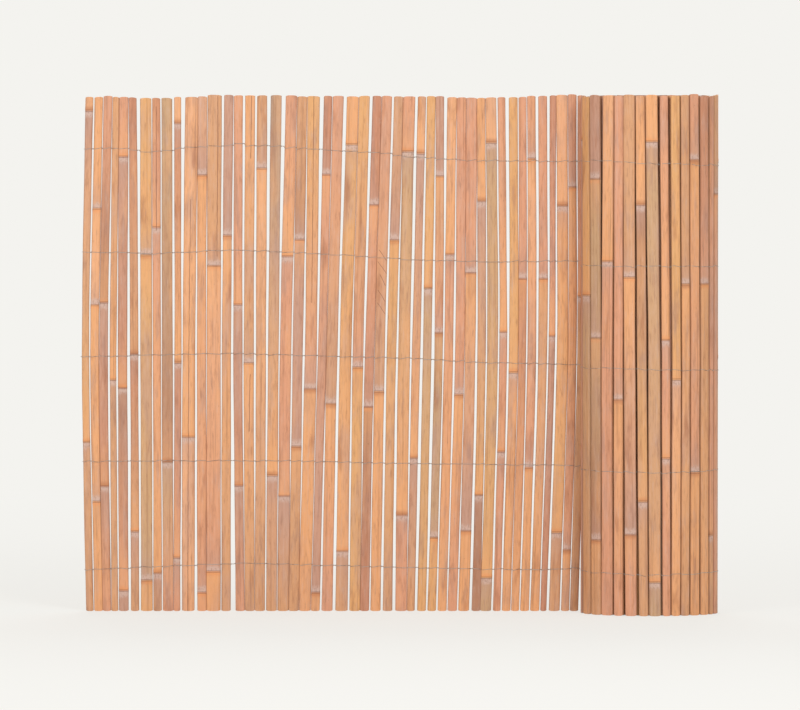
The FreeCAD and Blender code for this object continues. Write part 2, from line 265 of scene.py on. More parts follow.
class NodeBench:
    """Shorthand for laying out one node tree."""

    def __init__(self, tree: bpy.types.NodeTree) -> None:
        """Start on a tree with nothing in it."""
        self.tree = tree
        self.tree.nodes.clear()

    @classmethod
    def material(cls, name: str) -> tuple[bpy.types.Material, "NodeBench"]:
        """Start a material, with a bench for its tree.

        Args:
            name: Name of the material.

        Returns:
            The material and the bench.
        """
        material = bpy.data.materials.new(name)
        material.use_nodes = True
        return material, cls(material.node_tree)

    def node(self, kind: str, inputs: dict[str | int, object] | None = None, **settings: object
             ) -> bpy.types.Node:
        """Add a node, set its properties and feed its inputs.

        Args:
            kind: Blender's name for the node, without its common start.
            inputs: What feeds each input, by name or number: another socket, or a plain value.
            **settings: Properties of the node.

        Returns:
            The new node.
        """
        node = self.tree.nodes.new("ShaderNode" + kind)
        for key, value in settings.items():
            setattr(node, key, value)
        for key, value in (inputs or {}).items():
            self.feed(node.inputs[key], value)
        return node

    def feed(self, socket: bpy.types.NodeSocket, value: object) -> None:
        """Link a socket to another one, or set its own value.

        Args:
            socket: Input to feed.
            value: Another socket, or a plain value.
        """
        if isinstance(value, bpy.types.NodeSocket):
            self.tree.links.new(value, socket)
        else:
            socket.default_value = value

    def attribute(self, name: str, output: str = "Fac") -> bpy.types.NodeSocket:
        """Read a value that is stored on the piece's vertices."""
        return self.node("Attribute", attribute_name=name).outputs[output]

    def maths(self, operation: str, *values: object) -> bpy.types.NodeSocket:
        """Work out one sum of up to three values."""
        return self.node("Math", dict(enumerate(values)), operation=operation).outputs[0]

    def fade(self, value: object, start: float, end: float, low: float = 0.0, high: float = 1.0
             ) -> bpy.types.NodeSocket:
        """Map a value smoothly from one range to another.

        Args:
            value: Socket to map.
            start: Value at which the result is low.
            end: Value at which the result is high.
            low: Result at the start.
            high: Result at the end.

        Returns:
            The mapped socket.
        """
        sockets = {"Value": value, "From Min": start, "From Max": end, "To Min": low, "To Max": high}
        return self.node("MapRange", sockets, interpolation_type="SMOOTHSTEP").outputs["Result"]

    def stretch(self, vector: object, scale: Sequence[float]) -> bpy.types.NodeSocket:
        """Scale a place by its own amount along each axis."""
        return self.node("VectorMath", {0: vector, 1: scale}, operation="MULTIPLY").outputs[0]

    def noise(self, vector: object, scale: Sequence[float], detail: float, rough: float
              ) -> bpy.types.NodeSocket:
        """Soft noise over a stretched place.

        Args:
            vector: Place on the piece.
            scale: Waves to the metre along each axis.
            detail: Octaves of finer noise.
            rough: Strength of the finer noise.

        Returns:
            Socket of the noise, from 0 to 1.
        """
        sockets = {"Vector": self.stretch(vector, scale), "Scale": 1.0, "Detail": detail, "Roughness": rough}
        return self.node("TexNoise", sockets).outputs["Fac"]

    def mix(self, share: object, first: object, second: object) -> bpy.types.NodeSocket:
        """Mix two colours by a share of the second.

        Args:
            share: How much of the second colour shows.
            first: Colour below.
            second: Colour on top.

        Returns:
            Socket of the mixed colour.
        """
        node = self.node("Mix", data_type="RGBA")
        for place, value in ((0, share), (6, first), (7, second)):
            self.feed(node.inputs[place], value)
        return node.outputs[2]

    def wash(self, under: object, mask: object, tone: Sequence[float], start: float, end: float, strength: float
             ) -> bpy.types.NodeSocket:
        """Lay a colour over another one where a mask calls for it.

        Args:
            under: Colour below.
            mask: Socket of the mask.
            tone: Display colour on top.
            start: Value of the mask at which it starts to show.
            end: Value of the mask at which it shows most.
            strength: How much of it shows there.

        Returns:
            Socket of the colour.
        """
        return self.mix(self.fade(mask, start, end, 0.0, strength), under, linear(tone))

    def tint(self, under: object, mask: object, tone: Sequence[float], strength: float) -> bpy.types.NodeSocket:
        """Lay a display colour over another one, as strongly as a mask from 0 to 1 says."""
        return self.mix(self.maths("MULTIPLY", mask, strength), under, linear(tone))

    def group(self, tree: bpy.types.NodeTree, inputs: dict[str, object]) -> bpy.types.Node:
        """Place a node group and feed its inputs.

        Args:
            tree: The node group.
            inputs: What feeds each of its inputs, by name.

        Returns:
            The node that holds it.
        """
        node = self.node("Group", node_tree=tree)
        for key, value in inputs.items():
            self.feed(node.inputs[key], value)
        return node


class Effects:
    """Node groups that the finishes share."""

    @staticmethod
    def open(name: str, takes: dict[str, str], gives: Sequence[str]
             ) -> tuple[bpy.types.NodeTree, NodeBench, bpy.types.Node, bpy.types.Node]:
        """Start a group with named sockets.

        Args:
            name: Name of the group.
            takes: Kind of each input, by name.
            gives: Names of the outputs, which are all plain values.

        Returns:
            The group, a bench for it, and its input and output nodes.
        """
        tree = bpy.data.node_groups.new(name, "ShaderNodeTree")
        for label, kind in takes.items():
            tree.interface.new_socket(label, in_out="INPUT", socket_type=kind)
        for label in gives:
            tree.interface.new_socket(label, in_out="OUTPUT", socket_type="NodeSocketFloat")
        bench = NodeBench(tree)
        return tree, bench, tree.nodes.new("NodeGroupInput"), tree.nodes.new("NodeGroupOutput")

    @staticmethod
    def grain() -> bpy.types.NodeTree:
        """Long grain of split cane: broad streaks, fine fibres and slow mottling.

        Returns:
            A group that takes a place on the cane and gives three masks from 0 to 1.
        """
        tree, bench, into, out = Effects.open(
            "cane_grain", {"Place": "NodeSocketVector"}, ("Streaks", "Fibres", "Mottle"))
        place = into.outputs["Place"]
        waves = {"Streaks": ((230, 230, 3), 3.0), "Fibres": ((1500, 1500, 16), 2.0),
                 "Mottle": ((70, 70, 11), 4.0)}
        for name, (scale, detail) in waves.items():
            bench.feed(out.inputs[name], bench.noise(place, scale, detail, 0.6))
        return tree

    @staticmethod
    def node_marks() -> bpy.types.NodeTree:
        """Marks that lie round a node of the cane, with ragged edges.

        Returns:
            A group that takes a place and the gaps in millimetres to the node on its root side and on
            its tip side, and gives the masks of bloom, haze, flush, band and scar.
        """
        takes = {"Place": "NodeSocketVector", "Root gap": "NodeSocketFloat", "Tip gap": "NodeSocketFloat"}
        tree, bench, into, out = Effects.open("node_marks", takes, ("Bloom", "Haze", "Flush", "Band", "Scar"))
        place, root, tip = (into.outputs[key] for key in takes)
        ragged = bench.maths("SUBTRACT", bench.noise(place, (170, 170, 75), 4.0, 0.65), 0.5)
        # For each mask the gap it goes by and, in millimetres, how ragged it is, where it starts and is full.
        spans = {"Bloom": (root, 18.0, 17.0, 6.0), "Haze": (root, 60.0, 80.0, 5.0),
                 "Flush": (tip, 90.0, 120.0, 5.0), "Band": (tip, 8.0, 12.0, 3.0)}
        for name, (gap, play, start, full) in spans.items():
            edge = bench.maths("MULTIPLY_ADD", ragged, play, gap)
            bench.feed(out.inputs[name], bench.fade(edge, start, full))
        bench.feed(out.inputs["Scar"], bench.fade(bench.maths("MINIMUM", root, tip), 3.0, 0.9))
        return tree


@dataclass(frozen=True)
class BambooFinish:
    """Dry split cane: coloured rind with node marks before, pale fibrous wood behind.

    Attributes:
        bloom: Waxy bloom below a node.
        smudge: Dark mottling of the bloom.
        haze: Dull tone that the bloom fades into.
        flush: Warm tone beyond a node.
        band: Bright band at the node.
        scar: Dark line round the node.
        char: Scorched brown of blotches and of some bands.
        stain_and_edge_shade: Weathered dark marks and cracks, and the painted shade along the edges of the
            rind.
        wood: Bare wood of the sides and back.
        pith: Pale streaks in the bare wood.
        dull: Roughness beside the streaks and on them.
        waxy: How much rougher the bloom is.
        relief: Strength of the grain's relief.
        relief_depth: Depth of that relief.
        gloss: Specular level of the cane.
    """
    bloom: tuple[int, int, int] = (204, 176, 163)
    smudge: tuple[int, int, int] = (152, 121, 112)
    haze: tuple[int, int, int] = (186, 146, 128)
    flush: tuple[int, int, int] = (227, 164, 112)
    band: tuple[int, int, int] = (222, 146, 90)
    scar: tuple[int, int, int] = (124, 72, 50)
    char: tuple[int, int, int] = (162, 102, 70)
    stain_and_edge_shade: tuple[int, int, int] = (140, 92, 66)
    wood: tuple[int, int, int] = (206, 162, 118)
    pith: tuple[int, int, int] = (226, 190, 148)
    dull: tuple[float, float] = (0.46, 0.62)
    waxy: float = 0.18
    relief: float = 0.32
    relief_depth: float = 0.0006
    gloss: float = 0.32

    def build(self, grain: bpy.types.NodeTree, marks: bpy.types.NodeTree) -> bpy.types.Material:
        """Lay out the material.

        Args:
            grain: Group of the long grain.
            marks: Group of the node marks.

        Returns:
            The finished material.
        """
        material, bench = NodeBench.material("dry_split_cane")
        place = bench.attribute("cane_place", "Vector")
        rind = bench.attribute("rind")
        lines = bench.group(grain, {"Place": place}).outputs
        node = bench.group(marks, {
            "Place": place, "Root gap": bench.attribute("root_gap"), "Tip gap": bench.attribute("tip_gap"),
        }).outputs

        colour = self.rind_colour(bench, place, lines, node)
        wood = self.wood_colour(bench, place, lines, node)
        colour = bench.mix(bench.fade(rind, 0.75, 0.25), colour, wood)

        dull = bench.fade(lines["Streaks"], 0.3, 0.7, *self.dull)
        dull = bench.maths("MULTIPLY_ADD", node["Bloom"], self.waxy, dull)
        height = bench.maths("MULTIPLY_ADD", lines["Streaks"], 1.3, lines["Fibres"])
        bump = bench.node("Bump", {"Height": height, "Strength": self.relief, "Distance": self.relief_depth})
        shader = bench.node("BsdfPrincipled", {
            "Base Color": colour, "Roughness": dull, "Normal": bump.outputs[0],
            "Specular IOR Level": self.gloss})
        bench.node("OutputMaterial", {"Surface": shader.outputs[0]})
        return material

    def wood_colour(self, bench: NodeBench, place: bpy.types.NodeSocket, lines: bpy.types.bpy_prop_collection,
                    node: bpy.types.bpy_prop_collection) -> bpy.types.NodeSocket:
        """Colour of the split sides and the inner face of the cane.

        Args:
            bench: Bench of the material.
            place: Place on the cane.
            lines: Masks of the grain.
            node: Masks of the node marks.

        Returns:
            Socket of the colour.
        """
        colour = bench.mix(0.5, linear(self.wood), bench.attribute("tone", "Color"))
        drift = bench.noise(place, (26, 26, 3.0), 2.0, 0.55)
        # For each wash its mask, its colour, where on the mask it starts and shows most, and how much.
        for wash in (
            (drift, self.stain_and_edge_shade, 0.5, 0.7, 0.5),
            (drift, self.pith, 0.48, 0.3, 0.4),
            (lines["Fibres"], self.stain_and_edge_shade, 0.4, 0.72, 0.4),
            (lines["Streaks"], self.stain_and_edge_shade, 0.5, 0.74, 0.35),
        ):
            colour = bench.wash(colour, *wash)
        colour = bench.tint(colour, node["Band"], self.pith, 0.55)
        return bench.tint(colour, node["Scar"], self.scar, 0.7)

    def rind_colour(self, bench: NodeBench, place: bpy.types.NodeSocket, lines: bpy.types.bpy_prop_collection,
                    node: bpy.types.bpy_prop_collection) -> bpy.types.NodeSocket:
        """Colour of the outer face of the cane.

        Args:
            bench: Bench of the material.
            place: Place on the cane.
            lines: Masks of the grain.
            node: Masks of the node marks.

        Returns:
            Socket of the colour.
        """
        drift = bench.noise(place, (22, 22, 4.5), 2.0, 0.55)
        blotches = bench.noise(place, (46, 46, 8), 3.0, 0.6)
        flecks = bench.noise(place, (260, 260, 34), 4.0, 0.65)
        colour = bench.attribute("tone", "Color")
        # For each wash its mask, its colour, where on the mask it starts and shows most, and how much.
        for wash in (
            (drift, self.haze, 0.52, 0.72, 0.5),
            (drift, self.flush, 0.48, 0.28, 0.4),
            (lines["Mottle"], self.smudge, 0.5, 0.72, 0.4),
            (blotches, self.char, 0.55, 0.74, 0.55),
            (flecks, self.stain_and_edge_shade, 0.5, 0.74, 0.4),
            (flecks, self.bloom, 0.48, 0.26, 0.3),
        ):
            colour = bench.wash(colour, *wash)
        colour = bench.tint(colour, node["Flush"], self.flush, 0.45)
        colour = bench.tint(colour, node["Haze"], self.haze, 0.45)
        for wash in (
            (lines["Streaks"], self.stain_and_edge_shade, 0.52, 0.76, 0.4),
            (lines["Streaks"], self.bloom, 0.46, 0.24, 0.22),
            (lines["Fibres"], self.stain_and_edge_shade, 0.5, 0.78, 0.22),
        ):
            colour = bench.wash(colour, *wash)
        mood = bench.noise(place, (9, 9, 9), 1.0, 0.5)
        band = bench.wash(linear(self.band), mood, self.char, 0.46, 0.62, 0.8)
        band_share = bench.maths("MULTIPLY", node["Band"], bench.fade(mood, 0.38, 0.5, 0.3, 0.65))
        colour = bench.mix(band_share, colour, band)
        dapple = bench.noise(place, (330, 330, 190), 3.0, 0.6)
        bloom = bench.wash(linear(self.bloom), dapple, self.smudge, 0.46, 0.68, 0.7)
        colour = bench.mix(bench.maths("MULTIPLY", node["Bloom"], 0.72), colour, bloom)
        specks = bench.noise(place, (300, 300, 80), 3.0, 0.65)
        colour = bench.wash(colour, specks, self.stain_and_edge_shade, 0.67, 0.76, 0.5)
        # Painted shade along both edges of the rind: within 2 mm of an edge the colour darkens, standing in for
        # the shade of the crowned face.
        colour = bench.wash(colour, bench.attribute("rim"), self.stain_and_edge_shade, 2.0, 0.3, 0.34)
        wobble = bench.maths("SUBTRACT", bench.noise(place, (0, 0, 45), 3.0, 0.6), 0.5)
        thread = bench.maths("MULTIPLY_ADD", wobble, 2.4, bench.attribute("crack_line"))
        thread = bench.fade(bench.maths("ABSOLUTE", thread), 0.9, 0.25, 0.0, 0.8)
        cracks = bench.maths("MULTIPLY", thread, bench.attribute("cracked"))
        colour = bench.mix(cracks, colour, linear(self.scar))
        return bench.tint(colour, node["Scar"], self.scar, 0.68)


@dataclass(frozen=True)
class WireFinish:
    """Dull galvanised wire with a little rust.

    Attributes:
        zinc: Colour of the coating.
        rust: Colour of the rust in it.
        dull: Roughness of the coating and of the rust.
        metal: How metallic the coating and the rust are.
        relief: Strength of the spots' relief.
        relief_depth: Depth of that relief.
    """
    zinc: tuple[int, int, int] = (172, 160, 151)
    rust: tuple[int, int, int] = (138, 108, 90)
    dull: tuple[float, float] = (0.42, 0.75)
    metal: tuple[float, float] = (0.4, 0.1)
    relief: float = 0.2
    relief_depth: float = 0.0003

    def build(self) -> bpy.types.Material:
        """Lay out the material.

        Returns:
            The finished material.
        """
        material, bench = NodeBench.material("dull_galvanised_wire")
        place = bench.node("TexCoord").outputs["Object"]
        spots = bench.noise(place, (160, 160, 160), 4.0, 0.65)
        rusty = bench.fade(spots, 0.45, 0.66)
        colour = bench.mix(rusty, linear(self.zinc), linear(self.rust))
        dull = bench.fade(rusty, 0.0, 1.0, *self.dull)
        metal = bench.fade(rusty, 0.0, 1.0, *self.metal)
        bump = bench.node("Bump", {"Height": spots, "Strength": self.relief, "Distance": self.relief_depth})
        shader = bench.node("BsdfPrincipled", {
            "Base Color": colour, "Roughness": dull, "Metallic": metal, "Normal": bump.outputs[0]})
        bench.node("OutputMaterial", {"Surface": shader.outputs[0]})
        return material


@dataclass(frozen=True)
class Crack:
    """A dark line that runs along the rind of a slat.

    Attributes:
        across: Place of its foot across the slat, as a share of the width from the middle.
        low: Height of its foot in metres.
        high: Height of its head in metres.
        slant: How far its head lies to the right of its foot, in millimetres.
    """
    across: float
    low: float
    high: float
    slant: float = 0.0


Shade = Tone | tuple[Tone, Tone]


@dataclass(frozen=True)
class Cane:
    """What sets one slat of the run apart from the next.

    Attributes:
        growth: Which way up the cane grew.
        tones: Colour of each stretch between nodes, from the foot up; a pair fades from its foot to its head.
        cracks: Dark lines along its rind.
    """
    growth: Growth
    tones: tuple[Shade, ...]
    cracks: tuple[Crack, ...] = ()


UP, DOWN = Growth.UP, Growth.DOWN
PEACH, ORANGE, OCHRE, SALMON, TAN, OLIVE, MAUVE, RUSSET, BROWN, ASH = Tone
SCRATCHES = (
    Crack(0.4, 0.579, 0.599, -14.0), Crack(0.42, 0.602, 0.624, -14.0), Crack(0.4, 0.633, 0.654, -11.0),
    Crack(0.42, 0.657, 0.679, -15.0), Crack(0.38, 0.682, 0.702, -13.0),
)
RUN = (
    Cane(UP, (TAN, (OCHRE, MAUVE), PEACH)),
    Cane(DOWN, (ORANGE, ORANGE, PEACH, ORANGE)),
    Cane(UP, ((SALMON, MAUVE), (RUSSET, MAUVE), (BROWN, SALMON))),
    Cane(UP, (TAN, (ORANGE, TAN))),
    Cane(UP, (MAUVE, (SALMON, BROWN), (RUSSET, MAUVE), SALMON)),
    Cane(UP, ((TAN, MAUVE), (TAN, RUSSET), (TAN, RUSSET))),
    Cane(DOWN, (OCHRE, (OLIVE, OCHRE), OCHRE)),
    Cane(UP, ((TAN, MAUVE), (ORANGE, SALMON), (SALMON, RUSSET)), (Crack(0.0, 0.74, 0.98),)),
    Cane(UP, ((SALMON, OLIVE), (BROWN, OLIVE))),
    Cane(UP, ((SALMON, MAUVE), (SALMON, RUSSET), (ORANGE, RUSSET), PEACH)),
    Cane(UP, (PEACH, (ORANGE, PEACH)), (Crack(-0.04, 0.0, 0.80, 1.5),)),
    Cane(DOWN, (SALMON, (SALMON, ORANGE), (MAUVE, PEACH))),
    Cane(DOWN, (ORANGE, (SALMON, PEACH), TAN), (Crack(0.22, 0.69, 1.0),)),
    Cane(DOWN, ((TAN, ORANGE), MAUVE)),
    Cane(UP, ((SALMON, MAUVE), (RUSSET, MAUVE), SALMON)),
    Cane(DOWN, ((TAN, ORANGE), (TAN, ORANGE)), (Crack(0.1, 0.88, 1.0, 0.5), Crack(0.05, 0.35, 0.46, 1.5))),
    Cane(DOWN, ((TAN, PEACH), TAN)),
    Cane(UP, ((TAN, MAUVE), (ORANGE, ASH))),
    Cane(UP, ((TAN, MAUVE), SALMON, (ORANGE, SALMON))),
    Cane(DOWN, (TAN, MAUVE, (BROWN, TAN))),
    Cane(DOWN, (ORANGE, (SALMON, OCHRE)), (Crack(0.02, 0.6, 1.0),)),
    Cane(DOWN, (ORANGE, (MAUVE, SALMON), RUSSET)),
    Cane(DOWN, ((SALMON, ORANGE), (TAN, SALMON))),
    Cane(UP, (TAN, (ORANGE, OCHRE), ORANGE)),
    Cane(DOWN, (OCHRE, (SALMON, OCHRE))),
    Cane(DOWN, ((RUSSET, BROWN), (RUSSET, SALMON), RUSSET)),
    Cane(DOWN, (ORANGE, (TAN, SALMON)), SCRATCHES),
    Cane(DOWN, ((TAN, OCHRE), (MAUVE, TAN))),
    Cane(UP, (SALMON, (ORANGE, OLIVE), SALMON)),
    Cane(UP, ((TAN, MAUVE), (ORANGE, MAUVE), ORANGE)),
    Cane(UP, ((OCHRE, OLIVE), OCHRE)),
    Cane(DOWN, (OCHRE, OLIVE, (SALMON, TAN), MAUVE)),
    Cane(UP, ((ORANGE, SALMON), (ORANGE, PEACH))),
    Cane(DOWN, ((SALMON, ORANGE), SALMON)),
    Cane(DOWN, (ORANGE, (MAUVE, ORANGE), SALMON)),
    Cane(UP, (BROWN, (OCHRE, MAUVE), ORANGE)),
    Cane(UP, (OLIVE, (OCHRE, OLIVE), PEACH)),
    Cane(UP, (SALMON, SALMON, (ORANGE, SALMON))),
    Cane(UP, (ORANGE, OCHRE)),
    Cane(DOWN, ((ORANGE, RUSSET), SALMON)),
    Cane(DOWN, (ORANGE, (SALMON, PEACH), SALMON)),
    Cane(DOWN, ((ORANGE, TAN), SALMON)),
    Cane(UP, ((RUSSET, MAUVE), (SALMON, RUSSET))),
    Cane(UP, (TAN, (OCHRE, ORANGE), PEACH)),
    Cane(DOWN, (ORANGE, (SALMON, ORANGE), SALMON)),
    Cane(UP, (TAN, SALMON)),
)


@dataclass(frozen=True)
class RollCane:
    """One slat of the roll.

    Attributes:
        left: Place of its left edge: degrees round the roll, or millimetres along its curve.
        right: Place of its right edge.
        growth: Which way up the cane grew.
        tones: Colour of each stretch between nodes, from the foot up; a pair fades from its foot to its head.
        nodes: Heights of the nodes in metres.
        head: How far its head leans to the right, in millimetres.
        foot: How far its foot leans to the right, in millimetres.
    """
    left: float
    right: float
    growth: Growth
    tones: tuple[Shade, ...]
    nodes: tuple[float, ...]
    head: float = 0.0
    foot: float = 0.0


# Slats of the roll that face forwards, with their edges in degrees round the roll's middle.
ROLL_FRONT = (
    RollCane(180.0, 189.5, UP, (MAUVE, MAUVE), (0.915,)),
    RollCane(191.5, 207.0, UP, ((TAN, OLIVE), OCHRE), (0.615,), -3.0, 2.0),
    RollCane(208.5, 221.5, DOWN, (TAN, (BROWN, OLIVE), OLIVE, MAUVE), (0.144, 0.533, 0.839), -3.5, 1.5),
    RollCane(222.5, 234.0, UP, (SALMON, (ORANGE, PEACH)), (0.681,), 3.0, 1.0),
    RollCane(235.5, 244.0, DOWN, ((SALMON, ORANGE), SALMON), (0.415,), 1.0, 1.0),
    RollCane(245.0, 255.0, DOWN, (SALMON, (MAUVE, ORANGE), TAN), (0.156, 0.650), -1.5, 3.5),
    RollCane(256.5, 264.5, UP, (TAN, (OCHRE, BROWN), ORANGE), (0.220, 0.789), -3.5, 4.5),
    RollCane(266.0, 276.0, UP, (OLIVE, (TAN, OLIVE), ORANGE), (0.065, 0.910), -6.0, 2.0),
    RollCane(277.5, 284.5, UP, (SALMON, SALMON, (ORANGE, SALMON)), (0.303, 0.530), -4.5, 2.0),
    RollCane(286.5, 294.5, UP, ((ORANGE, PEACH), OCHRE), (0.454,), -3.5, -0.5),
    RollCane(295.5, 303.5, DOWN, ((TAN, ORANGE), TAN), (0.637,), -3.0, -1.0),
    RollCane(304.5, 314.5, DOWN, (ORANGE, (SALMON, ORANGE), SALMON), (0.275, 0.875), -3.5, -0.5),
    RollCane(316.0, 327.0, DOWN, ((ORANGE, TAN), (SALMON, RUSSET)), (0.637,), -2.0, 0.0),
    RollCane(329.0, 336.5, UP, (TAN, SALMON), (0.153,)),
    RollCane(338.0, 350.0, DOWN, (SALMON, TAN), (0.810,)),
)


@dataclass(frozen=True)
class Cutting:
    """What one slat is cut to.

    Attributes:
        name: Name of the slat.
        width: Its width.
        length: Its length.
        nodes: Heights of its nodes.
        growth: Which way up the cane grew.
        tones: Colour of each stretch between nodes, from the foot up.
        seed: Number that makes its grain and its unevenness its own.
        cracks: Dark lines along its rind.
        plain: Whether the plainer blank will do.
    """
    name: str
    width: float
    length: float
    nodes: Sequence[float]
    growth: Growth
    tones: Sequence[Shade]
    seed: int
    cracks: Sequence[Crack] = ()
    plain: bool = False


@dataclass
class CaneShop:
    """Cuts slats from a blank and marks what their finish needs.

    Attributes:
        finish: Material of the canes.
        width: Width of the blank.
        thickness: Thickness of every slat.
        edge: Rounding of the two front edges.
        back: Rounding of the two back edges.
        crown: How far the rind falls from its middle to its edges.
        rings: Stretches that the blank is cut into along its length.
        crown_cuts: Places of the cuts along its faces, as shares of its width.
        crack_end: Length over which a crack dies out.
        corner: How far the corners of the ends are worn off.
        skew: Steepest slope at which a head is sawn.
        wave: How far each wave of a side stands out.
        wave_rates: Least and most radians to the metre of the slow waves and of the quick ones.
        wave_turn: Most that a wave is shifted, in radians.
        rind_depth: How far before its middle a slat's rind starts, as a share of the thickness.
        face_depth: How far before its middle the crowned face starts, as such a share.
        end_zone: Length within which a vertex lies on an end.
        head_zone: Length of the head that the saw slants.
        side_swell: Share of a node's swelling that shows at the sides.
        back_swell: Share of it that shows behind.
        crease: Angle in degrees past which an edge stays sharp.
        grain_step: How far the grain of one slat lies from that of the next.
        node_steps: Distances from a node to the rings that shape it, from its root side, in millimetres.
        node_swell: How far the rind stands out at each of those rings, in millimetres.
        blank: Slat from which those that show are cut.
        plain: Plainer one for the inner turns of the roll.
    """
    finish: bpy.types.Material
    width: float = 0.018
    thickness: float = 0.005
    edge: float = 0.0015
    back: float = 0.0005
    crown: float = 0.0005
    rings: int = 14
    crown_cuts: tuple[float, ...] = (-0.25, 0.0, 0.25)
    crack_end: float = 0.0012
    corner: float = 1.8 * MM
    skew: float = 0.05
    wave: float = 0.22 * MM
    wave_rates: tuple[tuple[float, float], ...] = ((7.0, 12.0), (16.0, 26.0))
    wave_turn: float = 6.28
    rind_depth: float = 0.1
    face_depth: float = 0.4
    end_zone: float = 0.5 * MM
    head_zone: float = 0.01
    side_swell: float = 0.5
    back_swell: float = 0.4
    crease: float = 38.0
    grain_step: tuple[float, float, float] = (0.173, 0.0, 0.619)
    node_steps: tuple[float, ...] = (-9.0, -5.0, -2.0, -0.7, 0.7, 2.0, 4.0, 7.0, 11.0)
    node_swell: tuple[float, ...] = (0.0, 0.10, 0.25, 0.62, 0.34, 0.52, 0.62, 0.25, 0.0)
    blank: bpy.types.Object = field(init=False)
    plain: bpy.types.Object = field(init=False)

    def __post_init__(self) -> None:
        """Model both blanks."""
        self.blank = self.make_blank("cane_blank", 2, self.rings, self.crown_cuts)
        self.plain = self.make_blank("plain_cane_blank", 1, 2, ())

    def make_blank(self, name: str, round_steps: int, rings: int, crown_cuts: tuple[float, ...]
                   ) -> bpy.types.Object:
        """Model a plain split of cane of the nominal length.

        Args:
            name: Name of the blank.
            round_steps: Steps of the rounding of the front edges.
            rings: Stretches along its length.
            crown_cuts: Places of the cuts along its faces, as shares of its width.

        Returns:
            The blank, standing on the origin with its rind towards -Y.
        """
        blank = Bench.block(name, (self.width, self.thickness, SLAT_LENGTH), (0.0, 0.0, SLAT_LENGTH / 2))
        tall, rear = SLAT_LENGTH / 2, self.thickness / 2 - ALIKE
        with Bench.editing(blank) as mesh:
            Bench.select_edges(mesh, lambda a, b: abs(a.z - b.z) > tall and a.y < 0)
            bpy.ops.mesh.bevel(offset=self.edge, segments=round_steps, affect="EDGES")
            mesh = bmesh.from_edit_mesh(blank.data)
            Bench.select_edges(mesh, lambda a, b: abs(a.z - b.z) > tall and min(a.y, b.y) > rear)
            bpy.ops.mesh.bevel(offset=self.back, segments=1, affect="EDGES")
            for share in crown_cuts:
                Bench.cut((share * self.width, 0.0, 0.0), (1.0, 0.0, 0.0))
            for ring in range(1, rings):
                Bench.cut((0.0, 0.0, ring / rings), (0.0, 0.0, 1.0))
        return blank

    def swell(self, height: np.ndarray | float, nodes: Sequence[float], growth: Growth) -> np.ndarray:
        """Swelling of a cane at a height, from its nodes.

        Args:
            height: Height or heights.
            nodes: Heights of the nodes.
            growth: Which way up the cane grew.

        Returns:
            How far the rind stands out, in metres.
        """
        bulge = np.zeros_like(np.asarray(height, dtype=float))
        for node in nodes:
            step = (np.asarray(height) - node) * growth.value / MM
            bulge = np.maximum(bulge, np.interp(step, self.node_steps, self.node_swell))
        return bulge * MM

    def cut(self, plan: Cutting) -> bpy.types.Object:
        """Cut one slat, upright on the origin, with its marks stored for the finish.

        Args:
            plan: What it is cut to.

        Returns:
            The slat.
        """
        slat = Bench.copy(self.plain if plan.plain else self.blank, plan.name)
        points = Bench.points(slat)
        hold = 2 * self.edge
        reach = np.abs(points[:, 0])
        middle = reach * (plan.width / 2 - hold) / (self.width / 2 - hold)
        kept = plan.width / 2 - (self.width / 2 - reach)
        points[:, 0] = np.sign(points[:, 0]) * np.where(reach > self.width / 2 - hold, kept, middle)
        points[:, 2] *= plan.length
        Bench.move(slat, points)
        rings = [node + step * MM * plan.growth.value for node in plan.nodes for step in self.node_steps[1:-1]]
        rings += [end for crack in plan.cracks for end in (
            crack.low - self.crack_end, crack.low, crack.high, crack.high + self.crack_end)]
        if not plan.plain:
            with Bench.editing(slat):
                for ring in rings:
                    Bench.cut((0.0, 0.0, ring), (0.0, 0.0, 1.0))
        self.mark(slat, plan)
        self.shape(slat, plan)
        slat.data.materials.clear()
        slat.data.materials.append(self.finish)
        return slat

    @staticmethod
    def shade(height: np.ndarray, nodes: Sequence[float], tones: Sequence[Shade]) -> np.ndarray:
        """Colour of a cane at some heights.

        Args:
            height: The heights.
            nodes: Heights of the nodes.
            tones: Colour of each stretch between nodes, from the foot up.

        Returns:
            One linear colour for each height.
        """
        ends = [0.0, *sorted(nodes), SLAT_LENGTH]
        stretch = np.minimum(np.searchsorted(sorted(nodes), height), len(tones) - 1)
        colours = np.empty((len(height), 4))
        for place, tone in enumerate(tones):
            here = stretch == place
            low, high = tone if isinstance(tone, tuple) else (tone, tone)
            share = np.clip((height[here] - ends[place]) / (ends[place + 1] - ends[place]), 0.0, 1.0)[:, None]
            colours[here] = np.array(linear(low.value)) * (1 - share) + np.array(linear(high.value)) * share
        return colours

